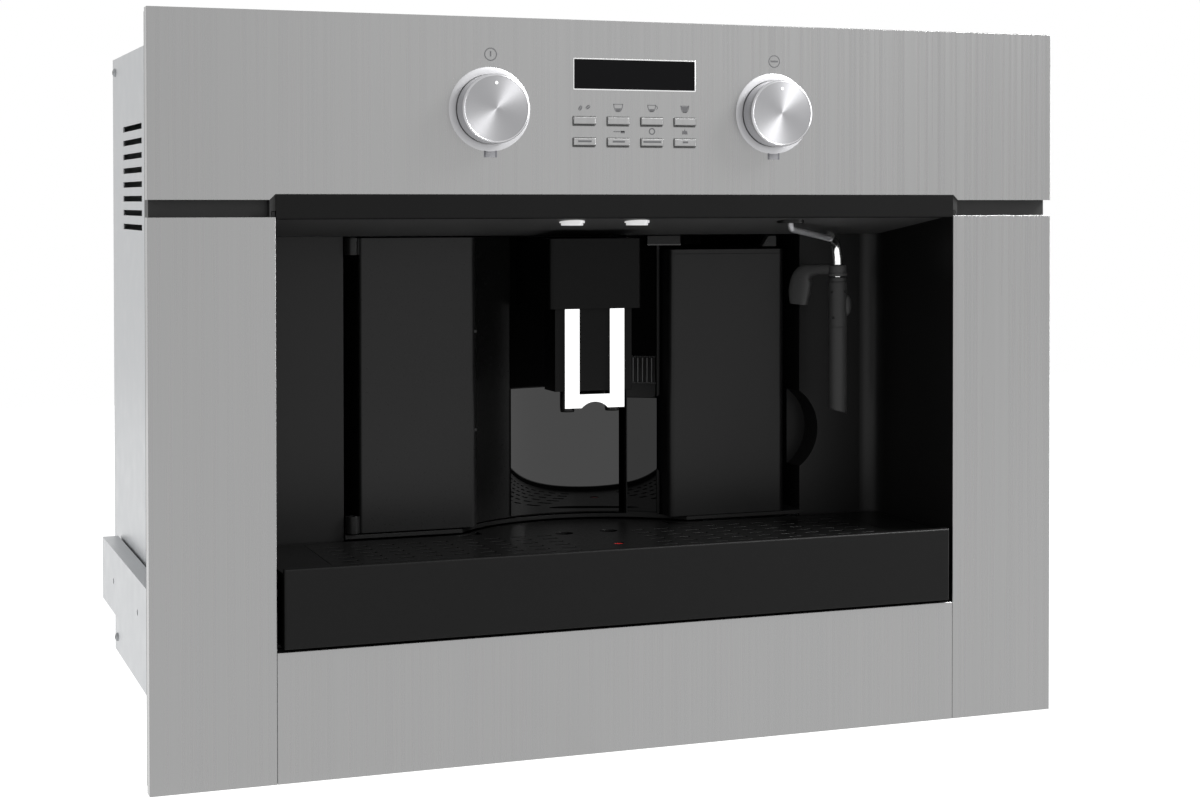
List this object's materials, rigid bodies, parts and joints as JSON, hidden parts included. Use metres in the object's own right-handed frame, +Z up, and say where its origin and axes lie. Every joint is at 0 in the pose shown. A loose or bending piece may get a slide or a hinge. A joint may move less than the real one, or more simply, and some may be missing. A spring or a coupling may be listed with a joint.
{
  "type": "built in coffee machine",
  "caption": "Pull-out bean-to-cup coffee machine with steel fascia, dark recess, twin spout on a hinged door, drip tray, water tank and steam wand.",
  "frame": {"origin": "on the cabinet's front plane, where the front frame's back face rests, on the centre line, level with the floor of the cabinet niche", "axes": "+X to the right seen from the front, +Y into the cabinet, +Z up"},
  "size_m": [0.595, 0.4285, 0.455],
  "materials": {
    "steel": "brushed upright",
    "zinc_steel": "zinc plated",
    "black_plastic": "satin",
    "gloss_black": "polished",
    "display_glass": "dark tint",
    "lamp_glass": "frosted",
    "circuit_board": "coated",
    "brass": "turned",
    "cast_aluminium": "cast",
    "turned_aluminium": "turned",
    "chrome": "polished",
    "red_plastic": "satin",
    "tank_plastic": "polished"
  },
  "bodies": {
    "cabinet_runners": {"outer_runners": "zinc_steel"},
    "middle_members": {"middle_runners": "zinc_steel"},
    "machine": {"inner_runners": "zinc_steel", "front_frame": "black_plastic", "control_panel": "steel", "left_column": "steel", "right_column": "steel", "lower_panel": "steel", "lip_rail": "black_plastic", "display_window": "display_glass", "display_module": "black_plastic", "control_board": "circuit_board", "selector_encoder": "zinc_steel", "steam_tap": "brass", "recess_walls": "black_plastic", "recess_ceiling": "black_plastic", "lamp_lenses": "lamp_glass", "bay_frame": "black_plastic", "hinge_pins": "zinc_steel", "base_plate": "zinc_steel", "side_covers": "zinc_steel", "rear_cover": "zinc_steel", "top_cover": "zinc_steel", "bean_hopper": "black_plastic", "grinder": "black_plastic", "boiler": "cast_aluminium", "pump": "black_plastic", "mains_inlet": "black_plastic", "tank_coupling": "black_plastic", "wand_socket": "black_plastic", "brewing_unit": "black_plastic", "grounds_container": "black_plastic"},
    "knob_left": {"knob_left": "turned_aluminium"},
    "knob_right": {"knob_right": "turned_aluminium"},
    "door": {"service_door": "gloss_black", "niche_panel": "gloss_black", "spout_housing": "gloss_black"},
    "spout": {"spout_carriage": "black_plastic", "spout_trim": "chrome"},
    "tray": {"drip_tray": "black_plastic", "tray_ribs": "black_plastic", "tray_front": "black_plastic"},
    "grate": {"tray_grate": "black_plastic"},
    "float": {"tray_float": "red_plastic"},
    "tank": {"water_tank": "tank_plastic", "tank_lid": "black_plastic"},
    "wand": {"steam_wand": "chrome", "wand_grip": "black_plastic"},
    "sleeve": {"frother_sleeve": "black_plastic"},
    "hopper_lid": {"hopper_lid": "black_plastic"},
    "main_switch": {"main_switch": "black_plastic"},
    "grind_adjuster": {"grind_adjuster": "black_plastic"},
    "button_1": {"button_1": "turned_aluminium"},
    "button_2": {"button_2": "turned_aluminium"},
    "button_3": {"button_3": "turned_aluminium"},
    "button_4": {"button_4": "turned_aluminium"},
    "button_5": {"button_5": "turned_aluminium"},
    "button_6": {"button_6": "turned_aluminium"},
    "button_7": {"button_7": "turned_aluminium"},
    "button_8": {"button_8": "turned_aluminium"}
  },
  "joints": [
    {"name": "pull_out", "type": "slide", "parent": "cabinet_runners", "child": "machine", "axis": [0, -1, 0], "range_m": [0, 0.3]},
    {"name": "middle_travel", "type": "slide", "parent": "cabinet_runners", "child": "middle_members", "axis": [0, -1, 0], "range_m": [0, 0.15]},
    {"name": "selector_turn", "type": "hinge", "parent": "machine", "child": "knob_left", "pos_m": [-0.0938, -0.03, 0.396], "axis": [0, -1, 0], "continuous": true},
    {"name": "steam_tap_turn", "type": "hinge", "parent": "machine", "child": "knob_right", "pos_m": [0.0938, -0.03, 0.396], "axis": [0, 1, 0], "range_deg": [0, 120]},
    {"name": "button_1_press", "type": "slide", "parent": "machine", "child": "button_1", "axis": [0, 1, 0], "range_m": [0, 0.001], "stiffness_N_per_m": 500, "springref_m": -0.001},
    {"name": "button_2_press", "type": "slide", "parent": "machine", "child": "button_2", "axis": [0, 1, 0], "range_m": [0, 0.001], "stiffness_N_per_m": 500, "springref_m": -0.001},
    {"name": "button_3_press", "type": "slide", "parent": "machine", "child": "button_3", "axis": [0, 1, 0], "range_m": [0, 0.001], "stiffness_N_per_m": 500, "springref_m": -0.001},
    {"name": "button_4_press", "type": "slide", "parent": "machine", "child": "button_4", "axis": [0, 1, 0], "range_m": [0, 0.001], "stiffness_N_per_m": 500, "springref_m": -0.001},
    {"name": "button_5_press", "type": "slide", "parent": "machine", "child": "button_5", "axis": [0, 1, 0], "range_m": [0, 0.001], "stiffness_N_per_m": 500, "springref_m": -0.001},
    {"name": "button_6_press", "type": "slide", "parent": "machine", "child": "button_6", "axis": [0, 1, 0], "range_m": [0, 0.001], "stiffness_N_per_m": 500, "springref_m": -0.001},
    {"name": "button_7_press", "type": "slide", "parent": "machine", "child": "button_7", "axis": [0, 1, 0], "range_m": [0, 0.001], "stiffness_N_per_m": 500, "springref_m": -0.001},
    {"name": "button_8_press", "type": "slide", "parent": "machine", "child": "button_8", "axis": [0, 1, 0], "range_m": [0, 0.001], "stiffness_N_per_m": 500, "springref_m": -0.001},
    {"name": "door_hinge", "type": "hinge", "parent": "machine", "child": "door", "pos_m": [-0.1535, 0.091, 0.22], "axis": [0, 0, -1], "range_deg": [0, 95]},
    {"name": "spout_height", "type": "slide", "parent": "door", "child": "spout", "axis": [0, 0, 1], "range_m": [0, 0.035]},
    {"name": "tray_slide", "type": "slide", "parent": "machine", "child": "tray", "axis": [0, -1, 0], "range_m": [0, 0.18]},
    {"name": "grate_lift", "type": "slide", "parent": "tray", "child": "grate", "axis": [0, 0, 1], "range_m": [0, 0.0033]},
    {"name": "float_rise", "type": "slide", "parent": "tray", "child": "float", "axis": [0, 0, 1], "range_m": [0, 0.006]},
    {"name": "tank_slide", "type": "slide", "parent": "machine", "child": "tank", "axis": [0, -1, 0], "range_m": [0, 0.2]},
    {"name": "wand_swing", "type": "hinge", "parent": "machine", "child": "wand", "pos_m": [0.1195, 0.008, 0.32], "axis": [0, 0, -1], "range_deg": [0, 90]},
    {"name": "sleeve_pull", "type": "slide", "parent": "wand", "child": "sleeve", "axis": [0, 0, -1], "range_m": [0, 0.06]},
    {"name": "hopper_lid_hinge", "type": "hinge", "parent": "machine", "child": "hopper_lid", "pos_m": [-0.055, 0.265, 0.4485], "axis": [-1, 0, 0], "range_deg": [0, 95]},
    {"name": "main_switch_rock", "type": "hinge", "parent": "machine", "child": "main_switch", "pos_m": [-0.15, 0.384, 0.045], "axis": [1, 0, 0], "range_deg": [-6, 6]},
    {"name": "grind_adjuster_turn", "type": "hinge", "parent": "machine", "child": "grind_adjuster", "pos_m": [0.05, 0.19, 0.44], "axis": [0, 0, 1], "range_deg": [0, 300]}
  ],
  "couplings": [
    {"joint": "middle_travel", "follows": "pull_out", "ratio": 0.5}
  ]
}
